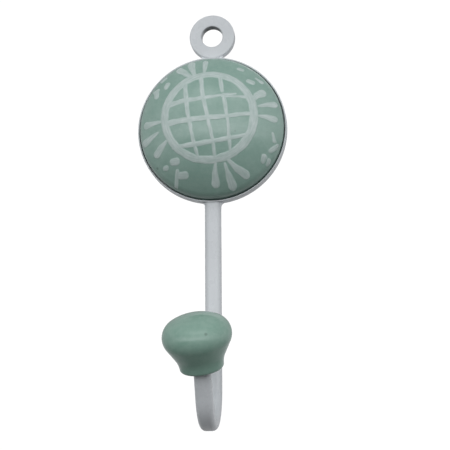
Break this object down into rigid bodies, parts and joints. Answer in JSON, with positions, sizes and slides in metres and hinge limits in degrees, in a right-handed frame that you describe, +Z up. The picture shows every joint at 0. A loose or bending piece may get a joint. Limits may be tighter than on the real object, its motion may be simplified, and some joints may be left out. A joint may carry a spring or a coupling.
{
  "type": "wall hook",
  "caption": "Wall hook: screw eye, round pressed tray holding a domed glazed ceramic medallion, and a J-bent painted steel bar that ends in a glazed ceramic knob.",
  "frame": {"origin": "centre of the screw eye's hole, on the wall plane (the back of the eye and of the tray)", "axes": "+Z up along the hook, -Y out from the wall towards the viewer, X across"},
  "size_m": [0.052, 0.0463, 0.146],
  "materials": {
    "white_paint": "glossy white powder coat on steel",
    "mint_glaze": "glossy mint-green glaze",
    "cement": "set filled epoxy cement"
  },
  "bodies": {
    "root": {"mounting_eye": "white_paint", "eye_weld": "white_paint", "medallion_tray": "white_paint", "medallion": "mint_glaze", "medallion_cement": "cement", "hook_bar": "white_paint", "stem_weld": "white_paint", "knob": "mint_glaze", "knob_cement": "cement"}
  },
  "joints": []
}
